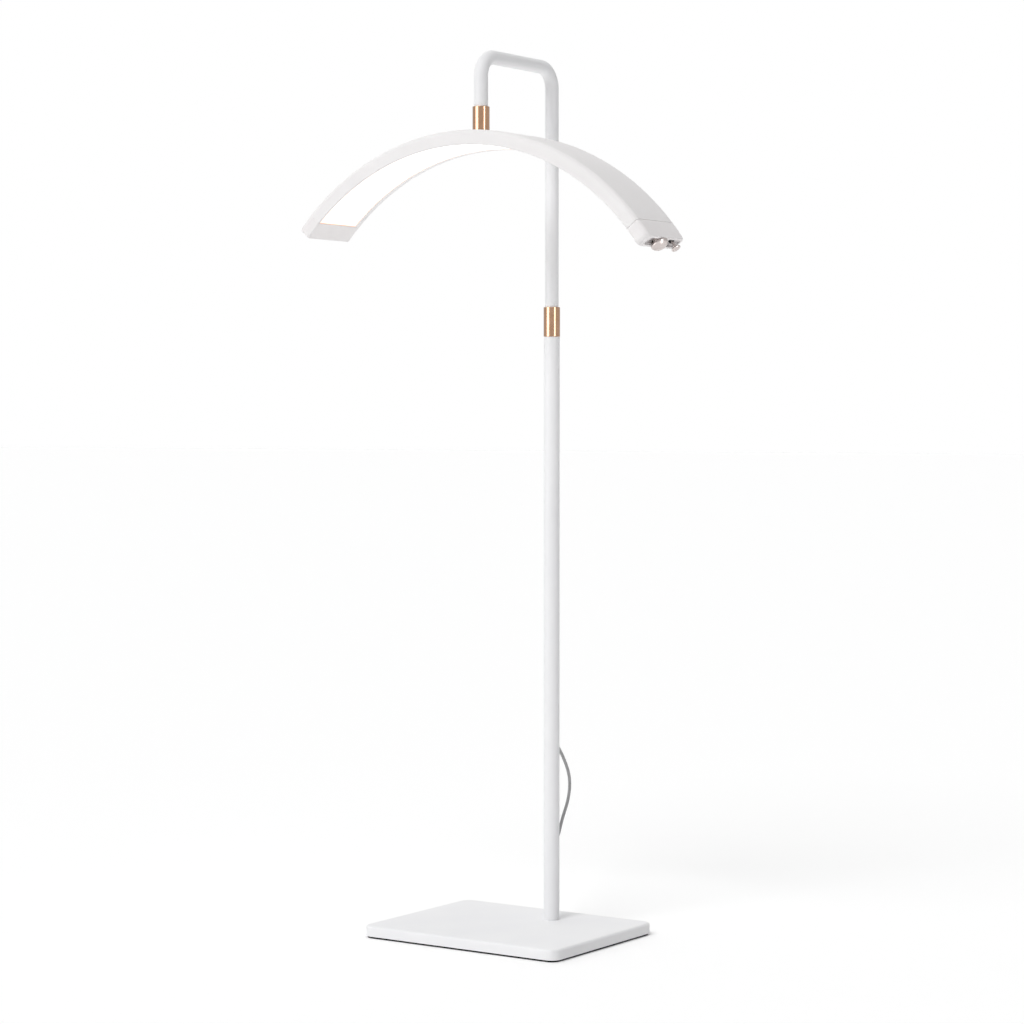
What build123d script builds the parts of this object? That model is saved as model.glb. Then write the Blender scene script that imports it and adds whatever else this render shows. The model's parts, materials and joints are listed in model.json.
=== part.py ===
from build123d import *
import math
import os

# Adjustable arm floor lamp with an arched light head.
# Millimetres. +Z is up. The origin is on the floor under the pole's axis, +X runs along the arch
# towards its control end, and -Y is the side on which the arm and the head hang.

# ---- base ----
base_length = 364.0
base_depth = 284.0
pole_to_base_end = 145.0
pole_to_base_back = 74.0
base_corner_radius = 17.0
base_edge_radius = 4.0
base_top_z = 19.5
pad_thickness = 3.0
pad_inset = 2.5
cover_wall = 2.5
underplate_thickness = 1.5
ballast_thickness = 10.0
ballast_inset = 12.0
base_screw_radius = 2.0
base_screw_head_radius = 3.4
base_screw_length = 9.0
base_boss_radius = 4.2
boss_inset = 6.6
foot_flange_radius = 20.0
foot_flange_thickness = 1.8
foot_spigot_length = 40.0
foot_bolt_radius = 5.0
foot_bolt_head_radius = 9.5
bolt_socket_share = 0.7
inlet_radius = 4.0
inlet_bore_radius = 2.8
inlet_pin_radius = 1.0
inlet_depth = 14.0
inlet_back_thickness = 2.0
inlet_offset_x = -40.0

# ---- tubes and the height lock ----
lower_tube_radius = 12.5
lower_tube_wall = 1.5
lower_tube_top_z = 945.4
seat_length = 22.0
seat_radius = 12.0
tube_chamfer = 0.4
mast_radius = 10.65
mast_wall = 1.2
mast_bottom_z = 560.0
arm_z = 1366.7
arm_reach = 194.5
bend_radius = 32.0
drop_end_z = 1264.0
guide_head_length = 12.0
guide_spigot_length = 38.0
guide_bore_radius = 3.6
lead_radius = 2.5
lead_tail_reach = 2.0
lock_collar_radius = 13.0
lock_collar_wall = 0.9
lock_collar_height = 46.4
lock_collar_lip = 2.0
lock_collar_round = 0.4
sleeve_slot_width = 1.5
sleeve_slot_depth = 15.0
sleeve_slots = 4

# ---- visible cable loop ----
cord_radius = 2.5
arc_share = 0.45
cord_route = [
    (0, 11.4, 300.5),
    (0, 21.0, 290.8),
    (0, 36.5, 271.5),
    (0, 50.5, 248.0),
    (0, 53.5, 225.5),
    (0, 46.5, 201.5),
    (0, 33.5, 181.5),
    (0, 25.5, 165.5),
    (0, 19.5, 151.5),
    (0, 11.4, 141.0),
]
grommet_width = 10.0
grommet_height = 17.0
grommet_flange = 1.5
grommet_flange_thickness = 1.2
hole_shift = 0.125

# ---- arched head ----
arch_radius = 413.0
arch_thickness = 23.0
arch_width = 105.0
arch_apex_x = -5.0
arch_apex_z = 1250.3
plain_end_angle = 48.0
control_end_angle = 54.4
cap_angle = 4.6
seam_gap_angle = 0.05
outer_edge_radius = 8.0
inner_edge_radius = 1.5
housing_wall = 2.2
front_lip_width = 3.2
back_lip_width = 11.0
lip_thickness = 3.0
cap_wall = 2.5
plain_cap_corner_radius = 3.0
control_cap_corner_radius = 8.0
cap_plan_length = 80.0
cap_plan_slack = 0.05
tongue_angle = 1.2
tongue_wall = 1.6
tongue_inset = 6.3
inner_end_gap_angle = 1.5
diffuser_base_thickness = 2.0
diffuser_recess = 0.8
spreader_thickness = 2.0
strip_thickness = 1.6
strip_inner_y = 14.0
strip_outer_y = 44.0
led_count = 20
led_size = (5.0, 5.0, 0.8)
mount_plate_length = 80.0
mount_plate_width = 25.0
mount_plate_thickness = 3.0

# ---- head pivot ----
swivel_collar_radius = 13.0
swivel_collar_height = 37.0
swivel_collar_round = 0.5
spindle_radius = 5.0
spindle_bore_radius = 3.2
spindle_top_reach = 1.0
spindle_low_reach = 2.0
washer_thickness = 1.4
bush_flange_thickness = 4.0
bush_length = 24.0
nut_radius = 8.2
nut_height = 5.0

# ---- controls in the end cap ----
recess_depth = 7.0
recess_margin = 3.6
recess_side_margin = 4.6
recess_corner_radius = 5.0
recess_floor = 2.0
knob_y = -10.0
knob_neck_radius = 7.2
knob_neck_height = 7.4
knob_radius = 13.5
knob_rim_chamfer = 0.6
knob_rim_height = 8.2
knob_tip_radius = 7.5
knob_height = 15.9
knob_floor_gap = 0.6
knob_shaft_radius = 3.0
knob_shaft_reach = 5.0
toggle_y = 31.0
toggle_stem_radius = 1.9
toggle_stem_length = 17.0
toggle_tip_radius = 7.2
toggle_tip_thickness = 5.5
toggle_bush_radius = 4.6
toggle_trunnion_radius = 2.6
toggle_trunnion_length = 5.0
toggle_bush_reach = 2.5
pivot_height = 0.5
swing_cone_spread = 2.2
control_body_depth = 11.0
control_body_width = 14.0
control_body_gap = 3.0
control_body_round = 1.5
board_reach = 6.0
board_drop = 4.4
board_thickness = 1.6
board_low_y = -6.4
board_high_y = 40.5
board_start_gap_angle = 0.3

# ---- fits ----
slip = 0.05
clearance = 0.3
part_gap = 0.1

os.makedirs("parts", exist_ok=True)
parts = {}


def ring(outer, inner, low, high):
    """Upright tube about the Z axis between two heights."""
    wall = Circle(outer) - Circle(inner)
    return Pos(0, 0, low) * extrude(wall, high - low)


def rod(radius, low, high):
    """Upright solid cylinder about the Z axis between two heights."""
    return Pos(0, 0, low) * extrude(Circle(radius), high - low)


def slab(length, depth, corner, low, high):
    """Flat rectangular slab with rounded corners, centred on the base."""
    outline = RectangleRounded(length, depth, corner)
    return Pos(base_centre_x, base_centre_y, low) * extrude(outline, high - low)


# ======== base ========
base_centre_x = pole_to_base_end - base_length / 2
base_centre_y = pole_to_base_back - base_depth / 2
underplate_top_z = pad_thickness + underplate_thickness
ballast_top_z = underplate_top_z + ballast_thickness
cover_inner_length = base_length - 2 * cover_wall
cover_inner_depth = base_depth - 2 * cover_wall
cover_inner_top_z = base_top_z - cover_wall

boss_row = cover_inner_depth / 2 - 2 * base_corner_radius
boss_points = [
    (base_centre_x + side * (cover_inner_length / 2 - boss_inset), base_centre_y + row)
    for side in (-1, 1)
    for row in (-boss_row, 0, boss_row)
]

base_cover = slab(base_length, base_depth, base_corner_radius, pad_thickness, base_top_z)
base_cover = fillet(base_cover.faces().sort_by(Axis.Z)[-1].edges(), base_edge_radius)
base_cover -= slab(
    cover_inner_length, cover_inner_depth, base_corner_radius - cover_wall, pad_thickness, cover_inner_top_z
)
for boss_x, boss_y in boss_points:
    base_cover += Pos(boss_x, boss_y) * ring(
        base_boss_radius, base_screw_radius + slip, underplate_top_z, cover_inner_top_z
    )
base_cover -= rod(lower_tube_radius + part_gap, cover_inner_top_z - 1, base_top_z + 1)

inlet_z = (pad_thickness + cover_inner_top_z) / 2
inlet_axis = Pos(inlet_offset_x, pole_to_base_back, inlet_z) * Rot(90, 0, 0)
base_cover -= inlet_axis * Pos(0, 0, -1) * extrude(Circle(inlet_radius + slip), cover_wall + 2)
parts["base_cover"] = base_cover

underplate = slab(
    cover_inner_length - 2 * clearance,
    cover_inner_depth - 2 * clearance,
    base_corner_radius - cover_wall - clearance,
    pad_thickness,
    underplate_top_z,
)
base_screw_head_height = base_screw_head_radius - base_screw_radius
screws = []
for boss_x, boss_y in boss_points:
    head = Pos(0, 0, pad_thickness + base_screw_head_height / 2) * Cone(
        base_screw_head_radius, base_screw_radius, base_screw_head_height
    )
    shank_low_z = pad_thickness + base_screw_head_height
    shank = rod(base_screw_radius, shank_low_z, pad_thickness + base_screw_length)
    head_seat = Pos(0, 0, pad_thickness + base_screw_head_height / 2) * Cone(
        base_screw_head_radius + part_gap, base_screw_radius + part_gap, base_screw_head_height
    )
    shank_hole = rod(base_screw_radius + part_gap, pad_thickness, underplate_top_z + 1)
    underplate -= Pos(boss_x, boss_y) * (head_seat + shank_hole)
    screws.append(Pos(boss_x, boss_y) * (head + shank))
parts["base_underplate"] = underplate
parts["base_screws"] = Compound(children=[screw.solid() for screw in screws])

pad_length = base_length - 2 * pad_inset
pad_depth = base_depth - 2 * pad_inset
parts["anti_slip_pad"] = slab(pad_length, pad_depth, base_corner_radius - pad_inset, 0, pad_thickness)

ballast = slab(
    cover_inner_length - 2 * ballast_inset,
    cover_inner_depth - 2 * ballast_inset,
    base_corner_radius / 2,
    underplate_top_z,
    ballast_top_z,
)
bolt_head_height = foot_bolt_head_radius - foot_bolt_radius
bolt_head_low_z = underplate_top_z + part_gap
bolt_head = Pos(0, 0, bolt_head_low_z + bolt_head_height / 2) * Cone(
    foot_bolt_head_radius, foot_bolt_radius, bolt_head_height
)
bolt_shank_top_z = ballast_top_z + foot_flange_thickness + foot_spigot_length / 2
bolt = bolt_head + rod(foot_bolt_radius, bolt_head_low_z + bolt_head_height, bolt_shank_top_z)
bolt_socket = RegularPolygon(foot_bolt_radius * bolt_socket_share, 6)
bolt -= Pos(0, 0, bolt_head_low_z) * extrude(bolt_socket, bolt_head_height * bolt_socket_share)
parts["foot_bolt"] = bolt
ballast -= Pos(0, 0, bolt_head_low_z + bolt_head_height / 2) * Cone(
    foot_bolt_head_radius + part_gap, foot_bolt_radius + part_gap, bolt_head_height
)
ballast -= rod(foot_bolt_head_radius + part_gap, underplate_top_z, bolt_head_low_z)
ballast -= rod(foot_bolt_radius + part_gap, bolt_head_low_z, ballast_top_z)
parts["ballast_plate"] = ballast

flange_top_z = ballast_top_z + foot_flange_thickness
lower_tube_bore = lower_tube_radius - lower_tube_wall
foot_plug = rod(foot_flange_radius, ballast_top_z, flange_top_z)
foot_plug += rod(lower_tube_bore - part_gap, flange_top_z, flange_top_z + foot_spigot_length)
foot_plug -= rod(foot_bolt_radius + slip, ballast_top_z, bolt_shank_top_z + 1)
parts["foot_plug"] = foot_plug

jack = extrude(Circle(inlet_radius) - Circle(inlet_bore_radius), inlet_depth)
jack += Pos(0, 0, inlet_depth - inlet_back_thickness) * extrude(Circle(inlet_radius), inlet_back_thickness)
jack += extrude(Circle(inlet_pin_radius), inlet_depth)
parts["power_inlet"] = inlet_axis * jack

# ======== lower tube with its two cable holes ========
seat_low_z = lower_tube_top_z
seat_top_z = seat_low_z + seat_length
lower_tube = ring(lower_tube_radius, lower_tube_bore, flange_top_z, seat_low_z)
tube_rims = lower_tube.edges().filter_by(GeomType.CIRCLE).group_by(Axis.Z)[-1]
lower_tube = chamfer(tube_rims.sort_by(SortBy.RADIUS)[-1], tube_chamfer)
lower_tube += ring(seat_radius, lower_tube_bore, seat_low_z, seat_top_z)


def cable_hole(end, beyond):
    """Place of a cable hole on the tube's back: a little from the cord's end towards its next point."""
    height = end[2] + (beyond[2] - end[2]) * hole_shift
    return Pos(0, 0, height) * Rot(-90, 0, 0)


hole_places = {
    "grommet_upper": cable_hole(cord_route[0], cord_route[1]),
    "grommet_lower": cable_hole(cord_route[-1], cord_route[-2]),
}
flange_inner = lower_tube_radius + part_gap
flange_ring = ring(flange_inner + grommet_flange_thickness, flange_inner, 0, lower_tube_top_z)
for node, place in hole_places.items():
    opening_outline = SlotOverall(grommet_height, grommet_width, rotation=90)
    lower_tube -= place * extrude(opening_outline, lower_tube_radius * 2)
    plug_outline = SlotOverall(grommet_height - 2 * part_gap, grommet_width - 2 * part_gap, rotation=90)
    plug = place * extrude(plug_outline, lower_tube_radius * 2)
    plug &= ring(flange_inner, lower_tube_bore, 0, lower_tube_top_z)
    flange_outline = SlotOverall(
        grommet_height + 2 * grommet_flange, grommet_width + 2 * grommet_flange, rotation=90
    )
    parts[node] = plug + (place * extrude(flange_outline, lower_tube_radius * 2) & flange_ring)
parts["lower_tube"] = lower_tube

# ======== cable loop ========
route = [Vector(*point) for point in cord_route]
corner_radii = []
for before, corner, after in zip(route, route[1:], route[2:]):
    first_run = corner - before
    second_run = after - corner
    half_turn = math.radians(first_run.get_angle(second_run)) / 2
    corner_radii.append(arc_share * min(first_run.length, second_run.length) / math.tan(half_turn))
cord_path = FilletPolyline(*route, radius=corner_radii)
cord_section = Plane(origin=cord_path @ 0, z_dir=cord_path % 0) * Circle(cord_radius)
cord = sweep(cord_section, path=cord_path)
parts["cable_loop"] = cord
print("cable loop radii", [round(radius) for radius in corner_radii])
print("cable loop length", round(cord_path.length, 1))
print("cable loop volume", round(cord.volume))
print("section times length", round(math.pi * cord_radius**2 * cord_path.length))
for node in hole_places:
    parts[node] -= cord

# ======== lock collar and clamp sleeve ========
lock_low_z = lower_tube_top_z + clearance
lock_top_z = lock_low_z + lock_collar_height
lock_bore = lock_collar_radius - lock_collar_wall
lock_collar = ring(lock_collar_radius, lock_bore, lock_low_z, lock_top_z - lock_collar_lip)
lock_collar += ring(lock_collar_radius, mast_radius + clearance, lock_top_z - lock_collar_lip, lock_top_z)
lock_rims = lock_collar.edges().filter_by(GeomType.CIRCLE)
lock_rims = lock_rims.filter_by(lambda edge: abs(edge.radius - lock_collar_radius) < slip)
lock_collar = fillet([lock_rims.sort_by(Axis.Z)[0], lock_rims.sort_by(Axis.Z)[-1]], lock_collar_round)
parts["lock_collar"] = lock_collar

sleeve_low_z = seat_top_z + clearance
sleeve_top_z = lock_top_z - lock_collar_lip - clearance
sleeve = ring(lock_bore - slip, mast_radius + slip, sleeve_low_z, sleeve_top_z)
for index in range(sleeve_slots):
    slot = Pos(lock_bore / 2, 0, sleeve_top_z - sleeve_slot_depth / 2) * Box(
        lock_bore, sleeve_slot_width, sleeve_slot_depth
    )
    sleeve -= Rot(0, 0, index * 360 / sleeve_slots) * Pos(lock_bore / 4, 0, 0) * slot
parts["clamp_sleeve"] = sleeve

# ======== mast: the upper tube bent into a cane ========
cane_corners = [
    (0, 0, mast_bottom_z),
    (0, 0, arm_z),
    (0, -arm_reach, arm_z),
    (0, -arm_reach, drop_end_z),
]
cane_path = FilletPolyline(*cane_corners, radius=bend_radius)


def along_cane(section):
    """Sweeps a section, drawn at the lower end, along the bent tube."""
    return sweep(Pos(0, 0, mast_bottom_z) * section, path=cane_path)


mast_bore = mast_radius - mast_wall
parts["mast_tube"] = along_cane(Circle(mast_radius)) - along_cane(Circle(mast_bore))
parts["mast_lead"] = along_cane(Circle(lead_radius))

guide = ring(lower_tube_bore - slip, guide_bore_radius, mast_bottom_z - guide_head_length, mast_bottom_z)
guide += ring(mast_bore - slip, guide_bore_radius, mast_bottom_z, mast_bottom_z + guide_spigot_length)
parts["mast_guide"] = guide
lead_tail = rod(lead_radius, mast_bottom_z - guide_head_length - lead_tail_reach, mast_bottom_z)
parts["mast_lead"] += lead_tail

# ======== head pivot, built about its own axis and then moved to the end of the arm ========
pivot_place = Pos(0, -arm_reach, 0)
collar_low_z = arch_apex_z + washer_thickness + clearance
collar_top_z = collar_low_z + swivel_collar_height
swivel_collar = ring(swivel_collar_radius, mast_radius + slip, collar_low_z, collar_top_z)
collar_rims = swivel_collar.edges().filter_by(GeomType.CIRCLE)
collar_rims = collar_rims.filter_by(lambda edge: abs(edge.radius - swivel_collar_radius) < slip)
swivel_collar = fillet(collar_rims, swivel_collar_round)
parts["swivel_collar"] = pivot_place * swivel_collar

bush_top_z = drop_end_z + bush_length - bush_flange_thickness
bush = ring(mast_radius - slip, spindle_radius + slip, drop_end_z - bush_flange_thickness, drop_end_z)
bush += ring(mast_bore - slip, spindle_radius + slip, drop_end_z, bush_top_z)
parts["pivot_bush"] = pivot_place * bush

plate_outer_radius = arch_radius - housing_wall - spreader_thickness - 2 * part_gap
plate_inner_radius = plate_outer_radius - mount_plate_thickness
plate_bottom_z = arch_apex_z - arch_radius + plate_inner_radius
spindle_top_z = bush_top_z + clearance + nut_height + spindle_top_reach
spindle_low_z = plate_bottom_z - nut_height - spindle_low_reach
spindle = ring(spindle_radius, spindle_bore_radius, spindle_low_z, spindle_top_z)
parts["pivot_spindle"] = pivot_place * spindle
hexagon = RegularPolygon(nut_radius, 6) - Circle(spindle_radius + slip)
top_nut = Pos(0, 0, bush_top_z + clearance) * extrude(hexagon, nut_height)
parts["spindle_top_nut"] = pivot_place * top_nut
head_nut = Pos(0, 0, plate_bottom_z - nut_height - clearance) * extrude(hexagon, nut_height)
parts["spindle_head_nut"] = pivot_place * head_nut
washer_top_z = arch_apex_z + washer_thickness
washer = ring(swivel_collar_radius - 1, spindle_radius + slip, arch_apex_z + slip, washer_top_z)
parts["friction_washer"] = pivot_place * washer
spindle_hole = pivot_place * rod(spindle_radius + part_gap, arch_apex_z - arch_thickness, arch_apex_z + 1)
parts["mast_lead"] -= pivot_place * rod(mast_radius, 0, spindle_top_z + 1)

# ======== arched head ========
# Sections are drawn across the arch, with y across its width and z as the radius, and are turned
# about the arch's own axis. Angles run from the top of the arch, positive towards the controls.
arch_centre = Pos(arch_apex_x, -arm_reach, arch_apex_z - arch_radius)
half_width = arch_width / 2
arch_inner_radius = arch_radius - arch_thickness
plain_seam = -plain_end_angle + cap_angle
control_seam = control_end_angle - cap_angle


def strip_face(y_low, y_high, radius_low, radius_high):
    """Rectangle across the arch between two widths and two radii."""
    width = y_high - y_low
    height = radius_high - radius_low
    return Plane.YZ * Pos((y_low + y_high) / 2, (radius_low + radius_high) / 2) * Rectangle(width, height)


def bend(face, start, end):
    """Turns a section along the arch from one angle to another."""
    swept = revolve(face, Axis.Y, revolution_arc=end - start)
    return arch_centre * Rot(0, start, 0) * swept


def rounded_section(inset):
    """The head's outer section, shrunk evenly: round along the outer edges, crisp inside."""
    sheet = Rectangle(arch_width - 2 * inset, arch_thickness - 2 * inset)
    corners = sheet.vertices().sort_by(Axis.Y)
    outer_round = max(outer_edge_radius - inset, inner_edge_radius)
    sheet = fillet(corners[2:], outer_round)
    sheet = fillet(sheet.vertices().sort_by(Axis.Y)[:2], inner_edge_radius)
    return Plane.YZ * Pos(0, arch_radius - arch_thickness / 2) * sheet


cavity_low = arch_inner_radius + lip_thickness
window_front = -half_width + front_lip_width
window_back = half_width - back_lip_width
housing_section = rounded_section(0) - rounded_section(housing_wall)
lip_band = strip_face(-half_width + housing_wall, half_width - housing_wall, arch_inner_radius, cavity_low)
housing_section += lip_band & rounded_section(0)
housing_section -= strip_face(window_front, window_back, arch_inner_radius - 1, cavity_low + housing_wall)
housing = bend(housing_section, plain_seam, control_seam)
parts["arch_housing"] = housing - spindle_hole

inner_start = plain_seam + inner_end_gap_angle
inner_end = control_seam - inner_end_gap_angle
step_top = cavity_low + part_gap + diffuser_base_thickness
pane_half = half_width - housing_wall - clearance
diffuser_section = strip_face(-pane_half, pane_half, cavity_low + part_gap, step_top)
diffuser_section += strip_face(
    window_front + clearance, window_back - clearance, arch_inner_radius + diffuser_recess, step_top
)
parts["diffuser"] = bend(diffuser_section, plain_seam + part_gap, control_seam - part_gap)

spreader_outer = arch_radius - housing_wall - part_gap
spreader_inner = spreader_outer - spreader_thickness
spreader_half = strip_outer_y + 1
spreader_face = strip_face(-spreader_half, spreader_half, spreader_inner, spreader_outer)
parts["heat_spreader"] = bend(spreader_face, inner_start, inner_end) - spindle_hole

strip_outer = spreader_inner - slip
strip_inner = strip_outer - strip_thickness
led_step = (inner_end - inner_start) / led_count
for name, low, high in (
    ("front", -strip_outer_y, -strip_inner_y),
    ("rear", strip_inner_y, strip_outer_y),
):
    strip = strip_face(low, high, strip_inner, strip_outer)
    parts["led_strip_" + name] = bend(strip, inner_start, inner_end)
    chips = []
    for index in range(led_count):
        angle = inner_start + (index + 0.5) * led_step
        chip = Pos(0, (low + high) / 2, strip_inner - led_size[2] / 2 - slip) * Box(*led_size)
        chips.append((arch_centre * Rot(0, angle, 0) * chip).solid())
    parts["leds_" + name] = Compound(children=chips)

plate_half_angle = math.degrees(mount_plate_length / 2 / arch_radius)
pivot_angle = math.degrees(math.asin(-arch_apex_x / arch_radius))
mount_plate = bend(
    strip_face(-mount_plate_width / 2, mount_plate_width / 2, plate_inner_radius, plate_outer_radius),
    pivot_angle - plate_half_angle,
    pivot_angle + plate_half_angle,
)
parts["mount_plate"] = mount_plate - spindle_hole


web_angle = math.degrees(cap_wall / arch_radius)


def end_cap(seam, end, corner_radius):
    """Hollow end cap with rounded corners and a tongue that slides into the housing."""
    side = 1 if end > seam else -1
    low, high = sorted((seam + side * seam_gap_angle, end))
    block = bend(rounded_section(0), low, high)
    plan_width = arch_width + 2 * cap_plan_slack
    plan = extrude(RectangleRounded(cap_plan_length, plan_width, corner_radius), 2 * arch_thickness)
    plan_middle = side * (cap_plan_slack - cap_plan_length / 2)
    block &= arch_centre * Rot(0, end, 0) * Pos(plan_middle, 0, arch_radius - 1.5 * arch_thickness) * plan
    wall_angle = math.degrees((cap_wall + recess_depth + recess_floor) / arch_radius)
    inner_low, inner_high = sorted((seam, end - side * wall_angle))
    block -= bend(rounded_section(cap_wall), inner_low, inner_high)
    tongue_root = seam + side * seam_gap_angle
    tongue_low, tongue_high = sorted((seam - side * tongue_angle, tongue_root + side * web_angle))
    web_low, web_high = sorted((tongue_root, tongue_root + side * web_angle))
    tongue_half = half_width - tongue_inset
    tongue_bottom = step_top + clearance
    tongue = strip_face(-tongue_half, tongue_half, tongue_bottom, spreader_inner)
    opening = strip_face(
        -tongue_half + tongue_wall,
        tongue_half - tongue_wall,
        tongue_bottom + tongue_wall,
        spreader_inner - tongue_wall,
    )
    web = rounded_section(cap_wall / 2) - opening
    return block + bend(web, web_low, web_high) + bend(tongue - opening, tongue_low, tongue_high)


parts["end_cap_plain"] = end_cap(plain_seam, -plain_end_angle, plain_cap_corner_radius)
control_cap = end_cap(control_seam, control_end_angle, control_cap_corner_radius)

# ======== controls ========
# The control frame stands on the end face of the cap: its z points out of the end.
end_middle = Pos(0, 0, arch_radius - arch_thickness / 2)
end_place = arch_centre * Rot(0, control_end_angle, 0) * end_middle * Rot(0, 90, 0)
recess_outline = RectangleRounded(
    arch_thickness - 2 * recess_margin, arch_width - 2 * recess_side_margin, recess_corner_radius
)
control_cap -= end_place * Pos(0, 0, -recess_depth) * extrude(recess_outline, recess_depth * 3)
floor_z = -recess_depth
knob_frame = end_place * Pos(0, knob_y, floor_z)
toggle_frame = end_place * Pos(0, toggle_y, floor_z)
through_floor = -cap_wall - recess_floor - 2
for frame, hole_radius in ((knob_frame, knob_shaft_radius), (toggle_frame, toggle_bush_radius)):
    through_hole = extrude(Circle(hole_radius + part_gap), -through_floor)
    control_cap -= frame * Pos(0, 0, through_floor) * through_hole
parts["end_cap_control"] = control_cap

knob_mid_height = (knob_rim_height + knob_height) / 2
dome = make_face(
    Polyline(
        (0, 0),
        (knob_neck_radius, 0),
        (knob_neck_radius, knob_neck_height),
        (knob_radius - knob_rim_chamfer, knob_neck_height),
        (knob_radius, knob_rim_height),
    )
    + Spline(
        (knob_radius, knob_rim_height),
        (knob_radius * 0.9, knob_mid_height),
        (knob_tip_radius, knob_height),
        tangents=((0, 1), (-0.9, 0.45)),
    )
    + Polyline((knob_tip_radius, knob_height), (0, knob_height), (0, 0))
)
knob = Pos(0, 0, knob_floor_gap) * revolve(Plane.XZ * dome, Axis.Z)
shaft_low = through_floor - knob_shaft_reach
knob += Pos(0, 0, shaft_low) * extrude(Circle(knob_shaft_radius), knob_floor_gap - shaft_low)
parts["dimmer_knob"] = knob_frame * knob

control_outline = RectangleRounded(
    arch_thickness - 2 * cap_wall - control_body_gap, control_body_width, control_body_round
)
block_low = through_floor - control_body_depth + 1
control_block = Pos(0, 0, block_low) * extrude(control_outline, control_body_depth)
dimmer = control_block - Pos(0, 0, shaft_low - 1) * extrude(Circle(knob_shaft_radius + slip), -shaft_low)
parts["dimmer_body"] = knob_frame * dimmer

bush_stub_length = toggle_bush_reach - through_floor
bush_stub = Pos(0, 0, through_floor) * extrude(Circle(toggle_bush_radius), bush_stub_length)
switch_body = control_block + bush_stub
trunnion_hole = Cylinder(toggle_trunnion_radius + slip, toggle_trunnion_length + 2 * slip)
switch_body -= Pos(0, 0, pivot_height) * Rot(90, 0, 0) * trunnion_hole
swing_top_radius = toggle_stem_radius + swing_cone_spread
swing_cone = Cone(toggle_stem_radius + clearance, swing_top_radius, 2 * toggle_bush_reach)
switch_body -= Pos(0, 0, pivot_height + toggle_bush_reach) * swing_cone
parts["switch_body"] = toggle_frame * switch_body

trunnion = Cylinder(toggle_trunnion_radius, toggle_trunnion_length)
lever = Pos(0, 0, pivot_height) * Rot(90, 0, 0) * trunnion
lever += Pos(0, 0, pivot_height) * extrude(Circle(toggle_stem_radius), toggle_stem_length)
tip_low = pivot_height + toggle_stem_length - toggle_tip_thickness
cap_profile = make_face(
    Polyline((0, 0), (toggle_stem_radius, 0))
    + Spline(
        (toggle_stem_radius, 0),
        (toggle_tip_radius, toggle_tip_thickness * 0.6),
        (0, toggle_tip_thickness),
        tangents=((0.7, 0.2), (-1, 0)),
    )
    + Line((0, toggle_tip_thickness), (0, 0))
)
lever += Pos(0, 0, tip_low) * revolve(Plane.XZ * cap_profile, Axis.Z)
parts["toggle_lever"] = toggle_frame * lever

board_angle = math.degrees(board_reach / arch_radius)
board_outer = strip_inner - board_drop
parts["control_board"] = bend(
    strip_face(board_low_y, board_high_y, board_outer - board_thickness, board_outer),
    control_seam - tongue_angle + board_start_gap_angle,
    control_seam + board_angle,
)

for node, shape in parts.items():
    export_step(shape, f"parts/{node}.step")

for label, place in (("knob", knob_frame), ("toggle", toggle_frame * Pos(0, 0, pivot_height))):
    spot = place.position
    outwards = (place * Pos(0, 0, 1)).position - spot
    print(label, "position mm", [round(value, 3) for value in spot])
    print(label, "axis", [round(value, 5) for value in outwards])
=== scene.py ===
# %% load the frame
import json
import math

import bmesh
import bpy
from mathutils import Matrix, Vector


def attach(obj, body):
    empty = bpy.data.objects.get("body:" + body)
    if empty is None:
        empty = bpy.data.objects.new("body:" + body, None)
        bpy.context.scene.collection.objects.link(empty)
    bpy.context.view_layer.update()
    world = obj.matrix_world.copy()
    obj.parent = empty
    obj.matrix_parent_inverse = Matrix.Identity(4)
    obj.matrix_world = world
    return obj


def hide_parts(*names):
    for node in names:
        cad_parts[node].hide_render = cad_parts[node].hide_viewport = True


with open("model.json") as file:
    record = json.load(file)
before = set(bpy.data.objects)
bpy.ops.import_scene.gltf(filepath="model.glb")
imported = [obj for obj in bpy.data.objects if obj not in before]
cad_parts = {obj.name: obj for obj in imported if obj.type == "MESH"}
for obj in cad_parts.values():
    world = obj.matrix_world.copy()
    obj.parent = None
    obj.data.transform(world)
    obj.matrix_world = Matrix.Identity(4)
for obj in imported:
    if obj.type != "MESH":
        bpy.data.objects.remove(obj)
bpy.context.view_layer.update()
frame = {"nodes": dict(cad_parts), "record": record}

# %% [markdown]
# # A height-adjustable arm floor lamp with an arched light head
# A slab base carries a telescopic pole. The upper tube is bent into a short arm, and an arched
# light panel swivels under its end. The model is built in metres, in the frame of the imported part:
# z is up, the origin is on the floor under the pole, x runs along the arch and -y is the side of
# the arm. Every piece that is seen is drawn again here with clean, smooth-shaded geometry. The
# parts inside keep their own meshes and only get a finish.

scene = bpy.context.scene
MM = 0.001

# %% [markdown]
# ## Camera
# The camera stands a little over four metres away with a long lens, as for a catalogue shot, and
# looks almost level. Its place and angle are given in the lamp's own frame.

# %% camera
camera_data = bpy.data.cameras.new("catalogue_camera")
camera = bpy.data.objects.new("catalogue_camera", camera_data)
scene.collection.objects.link(camera)
scene.camera = camera
camera_data.sensor_width = 36.0
camera_data.lens = 94.92
camera_data.clip_start = 0.1
camera_data.clip_end = 200.0
camera.location = (2.3632, -3.5627, 0.8111)
camera.rotation_euler = (math.pi / 2 - 0.03336, 0.0, math.radians(34.295) + 0.00185)
print("lens", camera_data.lens, "mm, distance", round(camera.location.length, 2), "m")

# %% [markdown]
# ## Small tools for materials
# Colours are written as sRGB hex values and turned to linear light by one function. One function
# adds a node, sets its values and makes its links, for shaders and for Geometry Nodes alike.


# %% colour and node helpers
def linear(hex_colour):
    """sRGB hex, such as F2F2F0, as linear RGBA."""
    channels = [int(hex_colour[i : i + 2], 16) / 255 for i in (0, 2, 4)]
    light = [c / 12.92 if c <= 0.04045 else ((c + 0.055) / 1.055) ** 2.4 for c in channels]
    return (*light, 1.0)


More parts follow.
